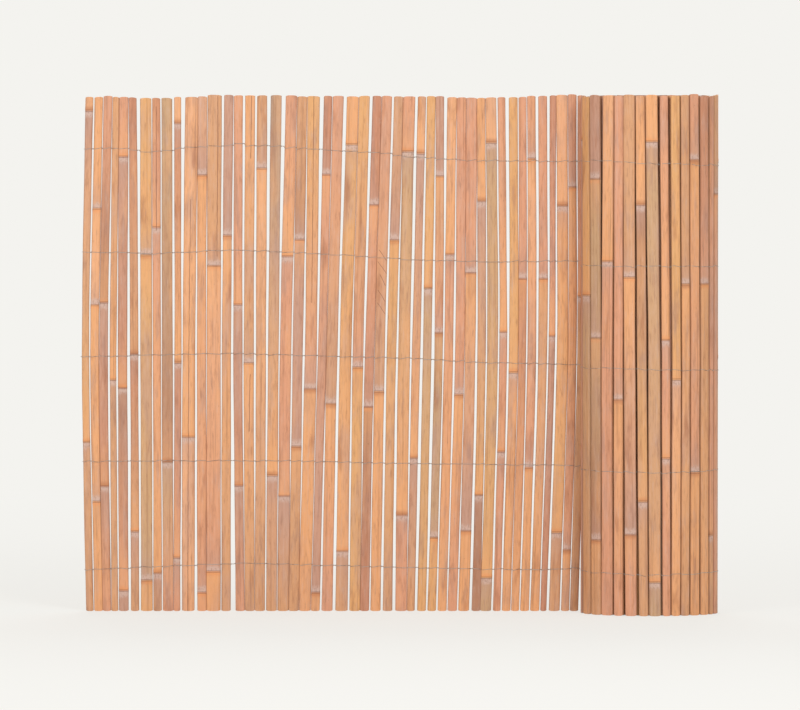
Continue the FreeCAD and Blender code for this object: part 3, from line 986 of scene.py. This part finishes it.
    def mark(self, slat: bpy.types.Object, plan: Cutting) -> None:
        """Store on each vertex of a slat what the finish reads.

        Args:
            slat: The slat, upright on the origin, before it is shaped.
            plan: What it is cut to.
        """
        points = Bench.points(slat)
        height = points[:, 2]
        signed = (height[:, None] - np.array(plan.nodes)[None, :]) * plan.growth.value / MM
        beyond = np.where(signed > 0, signed, FAR_GAP).min(axis=1, initial=FAR_GAP)
        below = np.where(signed <= 0, -signed, FAR_GAP).min(axis=1, initial=FAR_GAP)
        line, cracked = np.full(len(points), FAR_GAP), np.zeros(len(points))
        margin = 1.1 * self.crack_end
        for crack in plan.cracks:
            here = (height > crack.low - margin) & (height < crack.high + margin)
            slant = np.interp(height, (crack.low, crack.high), (0.0, crack.slant))
            line[here] = ((points[:, 0] - crack.across * plan.width) / MM - slant)[here]
            cracked[(height > crack.low - MM) & (height < crack.high + MM)] = 1.0
        for name, values in {
            "tone": self.shade(height, plan.nodes, plan.tones),
            "tip_gap": beyond,
            "root_gap": below,
            "rind": (points[:, 1] < -self.rind_depth * self.thickness) * 1.0,
            # Distance from the nearer edge in millimetres, which places the painted edge shade.
            "rim": (plan.width / 2 - np.abs(points[:, 0])) / MM,
            "crack_line": line,
            "cracked": cracked,
            "cane_place": points + plan.seed * np.array(self.grain_step),
        }.items():
            Bench.note(slat, name, values)

    def shape(self, slat: bpy.types.Object, plan: Cutting) -> None:
        """Give a slat its crown, the swelling of its nodes and the unevenness of split cane.

        Args:
            slat: The slat, upright on the origin.
            plan: What it is cut to.
        """
        dice = random.Random(plan.seed)
        points = Bench.points(slat)
        across, deep, height = points.T.copy()
        front = np.clip(-deep / (self.thickness / 2), -self.back_swell, 1.0)
        bulge = self.swell(height, plan.nodes, plan.growth)
        fall = self.crown * (2 * across / plan.width) ** 2
        points[:, 1] += np.where(deep < -self.face_depth * self.thickness, fall, 0.0)
        points[:, 1] -= bulge * front
        points[:, 0] += np.sign(across) * bulge * self.side_swell
        waves = [(dice.uniform(*rates), dice.uniform(0, self.wave_turn)) for rates in self.wave_rates]
        for side in (-1, 1):
            there = np.sign(across) == side
            for rate, phase in waves:
                points[there, 0] += self.wave * np.sin(rate * height[there] + phase + side)
        worn = self.corner * (2 * np.abs(across) / plan.width) ** 4
        foot, head = height < self.end_zone, height > plan.length - self.end_zone
        points[:, 2] += np.where(foot, worn, 0.0) - np.where(head, worn, 0.0)
        top = height > plan.length - self.head_zone
        points[top, 2] += dice.uniform(-self.skew, self.skew) * across[top]
        Bench.move(slat, points)
        Bench.smooth(slat, self.crease)


@dataclass
class SlatRun:
    """The unrolled run of slats.

    Attributes:
        shop: Where the slats are cut.
        bend: Share of a slat's half length over which its bow is eased.
        narrow: Gap that the ragged sides of two slats close.
        wide: Gap that they leave open.
        share: Share of a narrow gap that each side takes up.
        reach: How far a side reaches into a wide gap.
        widths: Width of each slat.
        middles: Place of each slat along the run, at half height.
        heads: Lean of each head.
        feet: Lean of each foot.
        nodes: Heights of each slat's nodes.
    """
    shop: CaneShop
    bend: float = 0.25
    narrow: float = 1.3 * MM
    wide: float = 2.2 * MM
    share: float = 0.47
    reach: float = 0.4 * MM
    widths: list[float] = field(default_factory=list)
    middles: list[float] = field(default_factory=list)
    heads: list[float] = field(default_factory=list)
    feet: list[float] = field(default_factory=list)
    nodes: list[list[float]] = field(default_factory=list)

    @staticmethod
    def node_name(number: int) -> str:
        """Name of a slat's solid, counted from 1."""
        return f"slat_{number:02d}"

    def measure(self) -> None:
        """Read every slat's width, line and nodes from its solid."""
        for number in range(1, len(RUN) + 1):
            low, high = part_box(self.node_name(number))
            points = Bench.points(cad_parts[self.node_name(number)])
            foot, middle, head = (points[np.abs(points[:, 2] - level) < ALIKE, 0]
                                  for level in (low[2], low[2] + SLAT_LENGTH / 2, high[2]))
            self.widths.append(float(np.ptp(foot)))
            ends = [(row.min() + row.max()) / 2 for row in (foot, head)]
            place = (middle.min() + middle.max()) / 2 if len(middle) else sum(ends) / 2
            self.middles.append(place)
            self.feet.append(ends[0] - place)
            self.heads.append(ends[1] - place)
            self.nodes.append(self.crests(number, low[1]))

    def crests(self, number: int, front: float) -> list[float]:
        """Heights of a slat's nodes: the middles of the ridges that stand furthest forward.

        Args:
            number: Number of the slat.
            front: Place of its foremost face.

        Returns:
            The heights, from the foot up.
        """
        points = Bench.points(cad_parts[self.node_name(number)])
        heights = sorted({round(z, 4) for _, y, z in points if y < front + ALIKE})
        return [(low + high) / 2 for low, high in zip(heights[::2], heights[1::2])]

    def lean(self, number: int, height: np.ndarray | float) -> np.ndarray | float:
        """How far a slat stands from its place at half height, with its bow eased there.

        Args:
            number: Number of the slat, counted from 1.
            height: Height or heights.

        Returns:
            The distance along the run.
        """
        reach = 2 * height / SLAT_LENGTH - 1
        bow = (np.hypot(reach, self.bend) - self.bend) / (math.hypot(1.0, self.bend) - self.bend)
        foot, head = self.feet[number - 1], self.heads[number - 1]
        return (head - foot) / 2 * reach + (head + foot) / 2 * bow

    def edges(self, number: int, height: np.ndarray | float
              ) -> tuple[np.ndarray | float, np.ndarray | float]:
        """Left and right edge of a slat at a height or heights.

        Args:
            number: Number of the slat, counted from 1.
            height: Height or heights.

        Returns:
            Places of both edges along the run.
        """
        middle = self.middles[number - 1] + self.lean(number, height)
        half = self.widths[number - 1] / 2
        return middle - half, middle + half

    def spread(self, number: int, points: np.ndarray) -> np.ndarray:
        """How far the ragged sides of a slat reach into the gaps beside it.

        Args:
            number: Number of the slat, counted from 1.
            points: Places of its vertices, upright on the origin.

        Returns:
            The distance along the run for each vertex, most at the sides and none in the middle.
        """
        across, height = points[:, 0], points[:, 2]
        left, right = self.edges(number, height)
        before = after = np.full(len(points), self.wide)
        if number > 1:
            before = left - self.edges(number - 1, height)[1]
        if number < len(self.widths):
            after = self.edges(number + 1, height)[0] - right
        push = []
        for gap in (before, after):
            closed = np.clip((self.wide - gap) / (self.wide - self.narrow), 0.0, 1.0)
            push.append(self.reach + closed * (self.share * np.maximum(gap, 0.0) - self.reach))
        return np.where(across < 0, push[0], push[1]) * across / (self.widths[number - 1] / 2)

    def build(self) -> list[bpy.types.Object]:
        """Cut every slat and set it in its place.

        Returns:
            The slats, each standing for its solid.
        """
        slats = []
        for number, cane in enumerate(RUN, start=1):
            low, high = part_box(self.node_name(number))
            slat = self.shop.cut(Cutting(
                f"cane_{number:02d}", self.widths[number - 1], high[2] - low[2], self.nodes[number - 1],
                cane.growth, cane.tones, number, cane.cracks))
            points = Bench.points(slat)
            spread = self.spread(number, points)
            points[:, 0] += self.middles[number - 1] + self.lean(number, points[:, 2]) + spread
            Bench.move(slat, points)
            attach(slat, BODY)
            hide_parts(self.node_name(number))
            slats.append(slat)
        return slats


@dataclass
class Oval:
    """Oval spiral that the middle of the rolled screen follows, wound inwards from its left side.

    Attributes:
        centre: Middle of the roll, along the run and across it.
        half_width: Half of its width at the start.
        half_depth: Half of its depth at the start.
        pitch: How far each turn lies inside the one before.
        start: Angle at which it starts.
        turns: Turns that are measured out.
        steps: Steps to a turn.
        angles: Angle at each step along the curve.
        lengths: Length of the curve up to each of them.
    """
    centre: tuple[float, float]
    half_width: float = 0.133
    half_depth: float = 0.0995
    pitch: float = 0.0095
    start: float = math.radians(157.0)
    turns: int = 7
    steps: int = 720
    angles: np.ndarray = field(init=False)
    lengths: np.ndarray = field(init=False)

    def __post_init__(self) -> None:
        """Measure the curve out."""
        self.angles = self.start + np.linspace(0.0, 2 * math.pi * self.turns, self.steps * self.turns)
        wide, deep = self.axes(self.angles)
        speed = np.hypot(wide * np.sin(self.angles), deep * np.cos(self.angles))
        steps = (speed[1:] + speed[:-1]) / 2 * np.diff(self.angles)
        self.lengths = np.concatenate([[0.0], np.cumsum(steps)])

    def axes(self, angle: np.ndarray | float) -> tuple[np.ndarray | float, np.ndarray | float]:
        """Half axes of the oval at an angle, less the turns wound so far."""
        wound = self.pitch * (angle - self.start) / (2 * math.pi)
        return self.half_width - wound, self.half_depth - wound

    def length(self, degrees: float) -> float:
        """Length of the curve up to an angle round its middle, given in degrees."""
        return float(np.interp(math.radians(degrees), self.angles, self.lengths))

    def place(self, length: float) -> tuple[np.ndarray, np.ndarray, np.ndarray]:
        """Point, direction of winding and outward normal at a length along the curve.

        Args:
            length: Length along the curve.

        Returns:
            Three vectors in the plane of the floor.
        """
        angle = float(np.interp(length, self.lengths, self.angles))
        wide, deep = self.axes(angle)
        point = np.array([self.centre[0] + wide * math.cos(angle), self.centre[1] + deep * math.sin(angle)])
        along = np.array([-wide * math.sin(angle), deep * math.cos(angle)])
        along /= np.linalg.norm(along)
        return point, along, np.array([along[1], -along[0]])


@dataclass
class RolledEnd:
    """The rest of the screen, rolled up at the end of the run.

    Attributes:
        shop: Where its slats are cut.
        oval: Curve that they follow.
        total: Length along the curve.
        outer: Length along the curve of the turn that shows.
        width: Usual width of a slat, in millimetres.
        gap: Usual gap between slats, in millimetres.
        play: Most that an edge lies from its usual place, in millimetres.
        sway: Most that a head leans to one side and its foot to the other, in millimetres.
        trim: Most that a slat that shows is longer or shorter than usual, in millimetres.
        low_node: Least and most height of a slat's lower node.
        next_node: Least and most distance from it to the upper one.
        seeds: Numbers that make the left side, the rest and the lengths their own, and the first of the slats'.
        node: Name of its solid.
    """
    shop: CaneShop
    oval: Oval
    total: float = 3.02
    outer: float = 0.78
    width: float = 17.0
    gap: float = 3.5
    play: float = 0.6
    sway: float = 0.9
    trim: float = 2.5
    low_node: tuple[float, float] = (0.05, 0.55)
    next_node: tuple[float, float] = (0.35, 0.42)
    seeds: tuple[int, int, int, int] = (3, 46, 7, 101)
    node: str = "rolled_end"

    def faced(self) -> list[RollCane]:
        """Measure the slats that face forwards along the curve.

        Returns:
            The slats, with their edges as lengths along the curve in millimetres.
        """
        length = self.oval.length
        return [replace(cane, left=length(cane.left) / MM, right=length(cane.right) / MM)
                for cane in ROLL_FRONT]

    def fill(self, start: float, step: float, count: int, seed: int) -> Iterator[RollCane]:
        """Lay plain slats along a stretch of the curve.

        Args:
            start: Length at which the stretch starts, in millimetres.
            step: Length from the start of one slat to that of the next, in millimetres.
            count: Number of slats.
            seed: Number that makes the stretch its own.

        Returns:
            The slats, in order.
        """
        dice = random.Random(seed)
        tones = list(Tone)
        for number in range(count):
            left = start + number * step
            right = left + step - self.gap
            low = dice.uniform(*self.low_node)
            nodes = (low, low + dice.uniform(*self.next_node))
            lean = dice.uniform(-self.sway, self.sway)
            yield RollCane(left + dice.uniform(-1, 1) * self.play, right + dice.uniform(-1, 1) * self.play,
                           dice.choice((UP, DOWN)), tuple(dice.choices(tones, k=3)), nodes, lean, -lean)

    def rows(self) -> list[RollCane]:
        """Lay out all the slats of the roll.

        Returns:
            The slats from the outside in, with their edges as lengths along the curve in millimetres.
        """
        faced = self.faced()
        step = self.width + self.gap
        side, rest = faced[0].left, faced[-1].right + self.gap
        side_count, rest_count = round(side / step), int((self.total / MM - rest) // step)
        return [*self.fill(0.0, side / side_count, side_count, self.seeds[0]), *faced,
                *self.fill(rest, step, rest_count, self.seeds[1])]

    def build(self) -> bpy.types.Object:
        """Cut the slats and wind them up.

        Returns:
            The roll, one piece that stands for its solid.
        """
        slats = []
        dice = random.Random(self.seeds[2])
        for seed, cane in enumerate(self.rows(), start=self.seeds[3]):
            inner = cane.left * MM > self.outer
            length = SLAT_LENGTH + (0.0 if inner else dice.uniform(-self.trim, self.trim) * MM)
            slat = self.shop.cut(Cutting(
                f"rolled_cane_{seed}", (cane.right - cane.left) * MM, length, cane.nodes, cane.growth,
                cane.tones, seed, plain=inner))
            point, along, outward = self.oval.place((cane.left + cane.right) / 2 * MM)
            across, deep, height = Bench.points(slat).T
            levels, leans = (0.0, SLAT_LENGTH / 2, SLAT_LENGTH), (cane.foot * MM, 0.0, cane.head * MM)
            lean = np.interp(height, levels, leans)
            flat = point + np.outer(across + lean, along) - np.outer(deep, outward)
            Bench.move(slat, np.column_stack([flat, height]))
            slats.append(slat)
        roll = Bench.join(slats, "rolled_canes")
        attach(roll, BODY)
        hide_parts(self.node)
        return roll


@dataclass(frozen=True)
class WireRow:
    """How one row of tie wire wanders along the run.

    Attributes:
        drift: Places along the run, with the height there over the row's level.
        roll_drift: Height over the row's level at the left edge, the middle and the right edge of the roll.
    """
    drift: tuple[tuple[float, float], ...]
    roll_drift: tuple[float, float, float]


WIRE_ROWS = (
    WireRow(((0.0, -0.007), (0.16, 0.0), (0.30, 0.006), (0.42, 0.002), (0.61, -0.003), (0.88, -0.008),
             (0.97, -0.004)), (-0.0055, -0.0095, -0.0055)),
    WireRow(((0.0, 0.002), (0.22, 0.004), (0.38, 0.003), (0.61, -0.002), (0.97, -0.006)),
            (-0.011, -0.014, -0.0105)),
    WireRow(((0.0, 0.005), (0.26, 0.011), (0.38, 0.008), (0.62, 0.001), (0.77, -0.007), (0.97, -0.011)),
            (-0.014, -0.017, -0.020)),
    WireRow(((0.0, 0.007), (0.13, 0.004), (0.28, 0.011), (0.40, 0.005), (0.51, 0.0), (0.61, -0.008),
             (0.77, -0.012), (0.97, -0.010)), (-0.019, -0.020, -0.0205)),
    WireRow(((0.0, 0.006), (0.05, 0.008), (0.08, 0.004), (0.11, 0.0), (0.14, 0.002), (0.18, 0.009),
             (0.21, 0.009), (0.26, 0.013), (0.295, 0.018), (0.305, 0.011), (0.34, 0.013), (0.41, 0.006),
             (0.55, -0.001), (0.61, -0.010), (0.77, -0.017), (0.97, -0.018)), (-0.017, -0.024, -0.027)),
)
# Points of a strand's twist across a gap: share of the gap, then depth and height in radii of the wire.
TWIST = ((0.25, 0.6, -1), (0.5, -1.0, 0), (0.75, 0.6, 1))
# Points of a strand over a slat of the roll: share of its width, share of the strand's cover, way of the slant.
ROUND = ((0.05, 0.9, 1), (0.5, 1.0, 0), (0.95, 0.9, -1))


@dataclass
class TieWire:
    """One row of tie wire: two strands that pass before and behind each slat and twist in each gap.

    Attributes:
        number: Row, counted from 1 at the foot.
        run: The run of slats that it ties.
        roll: The roll that it goes on through.
        finish: Material of the wire.
        radius: Half of the wire's thickness.
        tails: How far two points of its free end lie before the first slat.
        tail: How far its other end lies past its last point.
        inset: How far within a slat's edges a strand lies down on it.
        dip: How much deeper it lies there than at the slat's middle.
        least_gap: Least room for a twist between two slats of the run.
        roll_gap: Least room for one between two slats of the roll, in millimetres.
        sway: Most that it wanders up or down on a slat of the run and on one of the roll, in millimetres.
        slant: Most that it slants there, in millimetres.
        crease: Angle in degrees past which an edge stays sharp.
    """
    number: int
    run: SlatRun
    roll: RolledEnd
    finish: bpy.types.Material
    radius: float = 0.5 * MM
    tails: tuple[float, float] = (2.2 * MM, 1.2 * MM)
    tail: float = 1.8 * MM
    inset: float = 0.7 * MM
    dip: float = 0.35 * MM
    least_gap: float = 0.3 * MM
    roll_gap: float = 2.0
    sway: tuple[float, float] = (0.8, 1.3)
    slant: tuple[float, float] = (1.5, 1.4)
    crease: float = 60.0

    @property
    def node(self) -> str:
        """Name of the row's solid."""
        return f"tie_wire_{self.number}"

    @property
    def row(self) -> WireRow:
        """How the row wanders."""
        return WIRE_ROWS[self.number - 1]

    @property
    def middle(self) -> float:
        """Height of the middle of the row's solid."""
        low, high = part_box(self.node)
        return (low[2] + high[2]) / 2

    def level(self, along: float) -> float:
        """Height of the row at a place along the run."""
        places, drifts = zip(*self.row.drift)
        return self.middle + float(np.interp(along, places, drifts))

    def run_strand(self, side: int) -> list[tuple[float, float, float]]:
        """Path of one strand along the run.

        Args:
            side: -1 for the strand before the slats, 1 for the one behind them.

        Returns:
            Points of the path, from the free end.
        """
        run, shop, radius = self.run, self.run.shop, self.radius
        dice = random.Random(self.number)
        start = self.level(0.0)
        first = run.edges(1, start)[0]
        path = [(first - tail, side * (step * radius), start) for step, tail in enumerate(self.tails, start=1)]
        count = len(run.widths)
        for number, cane in enumerate(RUN, start=1):
            level = self.level(run.middles[number - 1]) + dice.uniform(-self.sway[0], self.sway[0]) * MM
            slant = dice.uniform(-self.slant[0], self.slant[0]) * MM
            left, right = run.edges(number, level)
            bulge = float(shop.swell(level, run.nodes[number - 1], cane.growth)) if side < 0 else 0.0
            face = side * (shop.thickness / 2 + bulge + radius)
            path.append((left + self.inset, face - side * self.dip, level + side * radius - slant))
            path.append(((left + right) / 2, face, level))
            path.append((right - self.inset, face - side * self.dip, level - side * radius + slant))
            if number < count:
                gap = max(run.edges(number + 1, level)[0] - right, self.least_gap)
                path += [(right + gap * share, side * deep * radius, level + lift * side * radius)
                         for share, deep, lift in TWIST]
        last = path[-1]
        path.append((last[0] + self.tail, side * radius, last[2]))
        return path

    def roll_strand(self, side: int) -> list[tuple[float, float, float]]:
        """Path of one strand through the turns of the roll.

        Args:
            side: 1 for the strand outside the slats, -1 for the one inside them.

        Returns:
            Points of the path, in the order of the winding.
        """
        dice = random.Random(self.number)
        oval, canes, shop = self.roll.oval, self.roll.rows(), self.run.shop
        cover = shop.thickness / 2 + self.radius
        middle = self.middle
        places = [oval.centre[0] + share * oval.half_width for share in (-1, 0, 1)]
        path = []
        for cane, follower in zip(canes, canes[1:] + canes[-1:]):
            wander = dice.uniform(-self.sway[1], self.sway[1]) * MM
            slant = dice.uniform(-self.slant[1], self.slant[1]) * MM
            for share, out, lift in ROUND:
                point, _, outward = oval.place((cane.left + share * (cane.right - cane.left)) * MM)
                level = middle + float(np.interp(point[0], places, self.row.roll_drift))
                bulge = float(shop.swell(level, cane.nodes, cane.growth)) if side > 0 else 0.0
                flat = point + outward * side * (cover * out + bulge)
                path.append((*flat, level + wander + lift * (side * self.radius + slant)))
            gap = max(follower.left - cane.right, self.roll_gap)
            point, _, outward = oval.place((cane.right + gap / 2) * MM)
            path.append((*(point - outward * side * self.radius), level + wander))
        return path

    def tube(self, name: str, path: list[tuple[float, float, float]]) -> bpy.types.Object:
        """Draw a strand along its path as a round wire.

        Args:
            name: Name of the strand.
            path: Points that it follows.

        Returns:
            The strand as a mesh.
        """
        curve = bpy.data.curves.new(name, "CURVE")
        curve.dimensions = "3D"
        curve.bevel_depth = self.radius
        curve.bevel_resolution = 1
        curve.use_fill_caps = True
        spline = curve.splines.new("POLY")
        spline.points.add(len(path) - 1)
        for point, place in zip(spline.points, path):
            point.co = (*place, 1.0)
        strand = bpy.data.objects.new(name, curve)
        bpy.context.scene.collection.objects.link(strand)
        Bench.pick(strand)
        bpy.ops.object.convert(target="MESH")
        return bpy.context.object

    def build(self) -> list[bpy.types.Object]:
        """Twist the strands of the row.

        Returns:
            The row along the run, which stands for its solid, and the rest of it in the roll.
        """
        strands = [self.tube(f"strand_{self.number}_{side}", self.run_strand(side)) for side in (-1, 1)]
        run = Bench.join(strands, f"twisted_wire_{self.number}")
        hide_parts(self.node)
        strands = [self.tube(f"roll_strand_{self.number}_{side}", self.roll_strand(side)) for side in (-1, 1)]
        roll = Bench.join(strands, f"rolled_wire_{self.number}")
        for piece in (run, roll):
            piece.data.materials.clear()
            piece.data.materials.append(self.finish)
            Bench.smooth(piece, self.crease)
            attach(piece, BODY)
        return [run, roll]


def facing(place: Sequence[float], aim: Sequence[float]) -> Euler:
    """Turn that points a camera or a lamp from its place at its aim."""
    return (Vector(aim) - Vector(place)).to_track_quat("-Z", "Y").to_euler()


@dataclass(frozen=True)
class Lamp:
    """A soft square lamp.

    Attributes:
        name: Name of the lamp.
        place: Where it hangs.
        size: Length of its side.
        watts: Its power.
    """
    name: str
    place: tuple[float, float, float]
    size: float
    watts: float

    def hang(self, aim: Sequence[float]) -> None:
        """Hang the lamp so that it faces a point.

        Args:
            aim: The point.
        """
        data = bpy.data.lights.new(self.name, "AREA")
        data.size = self.size
        data.energy = self.watts
        lamp = bpy.data.objects.new(self.name, data)
        lamp.location = self.place
        lamp.rotation_euler = facing(self.place, aim)
        bpy.context.scene.collection.objects.link(lamp)


# Lamps on both sides of the viewer and one above the back of the screen.
LAMPS = (
    Lamp("key", (2.6, -4.9, 3.0), 1.8, 112.0),
    Lamp("fill", (-2.8, -4.8, 2.0), 2.5, 102.0),
    Lamp("back", (0.6, 3.6, 4.6), 3.0, 90.0),
)


@dataclass
class Studio:
    """Camera, pale floor and soft lamps.

    Attributes:
        eye: Place of the camera.
        aim: Point that it looks at.
        lens: Focal length in millimetres.
        sensor: Width of the camera's sensor in millimetres.
        sight: How far the camera sees.
        lit: Point that the lamps face.
        sky: Linear colour of the sky's light.
        sky_light: Strength of that light.
        paper: Display colour of the floor and of the air behind it.
        floor_reach: Half of the floor's width.
        floor_sides: Number of its sides.
        middle: Point on the floor round which it takes the object's shadow.
        glow: Share of the floor's own light where it takes the shadow.
        near: Distance from the middle at which that share starts to grow.
        far: Distance at which the floor is as bright as the air.
    """
    eye: tuple[float, float, float] = (0.603, -10.4, 0.748)
    aim: tuple[float, float, float] = (0.603, 0.0, 0.498)
    lens: float = 241.0
    sensor: float = 36.0
    sight: float = 60.0
    lit: tuple[float, float, float] = (0.6, 0.0, 0.5)
    sky: tuple[float, float, float, float] = (1.0, 0.99, 0.97, 1.0)
    sky_light: float = 0.55
    paper: tuple[int, int, int] = (244, 243, 239)
    floor_reach: float = 40.0
    floor_sides: int = 96
    middle: tuple[float, float, float] = (0.6, 0.0, 0.0)
    glow: float = 0.7
    near: float = 0.8
    far: float = 4.5

    def camera(self) -> None:
        """Set up the camera."""
        data = bpy.data.cameras.new("camera")
        data.lens = self.lens
        data.sensor_width = self.sensor
        data.clip_end = self.sight
        camera = bpy.data.objects.new("camera", data)
        camera.location = self.eye
        camera.rotation_euler = facing(self.eye, self.aim)
        bpy.context.scene.collection.objects.link(camera)
        bpy.context.scene.camera = camera

    def floor(self) -> None:
        """Lay a round floor that fades into the air."""
        Bench.clear()
        bpy.ops.mesh.primitive_circle_add(
            vertices=self.floor_sides, radius=self.floor_reach, fill_type="TRIFAN", location=self.middle)
        sheet = bpy.context.object
        sheet.name = sheet.data.name = "paper_floor"
        bpy.ops.object.transform_apply(location=True, rotation=True, scale=True)
        sheet.data.materials.append(self.paper_finish())

    @staticmethod
    def seen(bench: NodeBench) -> bpy.types.NodeSocket:
        """Whether a ray shows the stage itself, directly or in something shiny or clear.

        Args:
            bench: Bench of the floor's material or of the sky.

        Returns:
            Socket that is 1 for such a ray and 0 for any other.
        """
        path = bench.node("LightPath").outputs
        seen = bench.maths("MAXIMUM", path["Is Camera Ray"], path["Is Glossy Ray"])
        return bench.maths("MAXIMUM", seen, path["Is Transmission Ray"])

    def paper_finish(self) -> bpy.types.Material:
        """Pale paper with soft shadows near the object, evenly bright further out.

        Returns:
            The material.
        """
        material, bench = NodeBench.material("pale_paper")
        matt = bench.node("BsdfDiffuse", {"Color": linear(self.paper)})
        glow = bench.node("Emission", {"Color": linear(self.paper), "Strength": 1.0})
        place = bench.node("TexCoord").outputs["Object"]
        away = bench.node("VectorMath", {0: place, 1: self.middle}, operation="DISTANCE").outputs["Value"]
        share = bench.fade(away, self.near, self.far, self.glow, 1.0)
        mixed = bench.node("MixShader", {
            0: bench.maths("MULTIPLY", self.seen(bench), share), 1: matt.outputs[0], 2: glow.outputs[0]})
        bench.node("OutputMaterial", {"Surface": mixed.outputs[0]})
        return material

    def light(self) -> None:
        """Hang the lamps under a pale sky."""
        for lamp in LAMPS:
            lamp.hang(self.lit)
        world = bpy.data.worlds.new("pale_sky")
        world.use_nodes = True
        bench = NodeBench(world.node_tree)
        sky = bench.node("Background", {"Color": self.sky, "Strength": self.sky_light})
        air = bench.node("Background", {"Color": linear(self.paper), "Strength": 1.0})
        mixed = bench.node("MixShader", {0: self.seen(bench), 1: sky.outputs[0], 2: air.outputs[0]})
        bench.node("OutputWorld", {"Surface": mixed.outputs[0]})
        bpy.context.scene.world = world

    def build(self) -> None:
        """Set up everything round the screen."""
        self.camera()
        self.floor()
        self.light()
        bpy.context.scene.view_settings.view_transform = "Standard"


def main() -> None:
    """Build the pieces in order and report each of them."""
    logging.basicConfig(level=logging.INFO, format="%(name)s: %(message)s")
    Studio().build()
    shop = CaneShop(BambooFinish().build(Effects.grain(), Effects.node_marks()))
    run = SlatRun(shop)
    run.measure()
    roll_low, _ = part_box(RolledEnd.node)
    roll = RolledEnd(shop, Oval((roll_low[0] + ROLL_REACH[0], roll_low[1] + ROLL_REACH[1])))
    pieces = run.build()
    pieces.append(roll.build())
    wire = WireFinish().build()
    for number in range(1, len(WIRE_ROWS) + 1):
        pieces += TieWire(number, run, roll, wire).build()
    for blank in (shop.blank, shop.plain):
        bpy.data.objects.remove(blank)
    for piece in pieces:
        LOG.info("%s: %d faces", piece.name, len(piece.data.polygons))


if __name__ == "__main__":
    main()
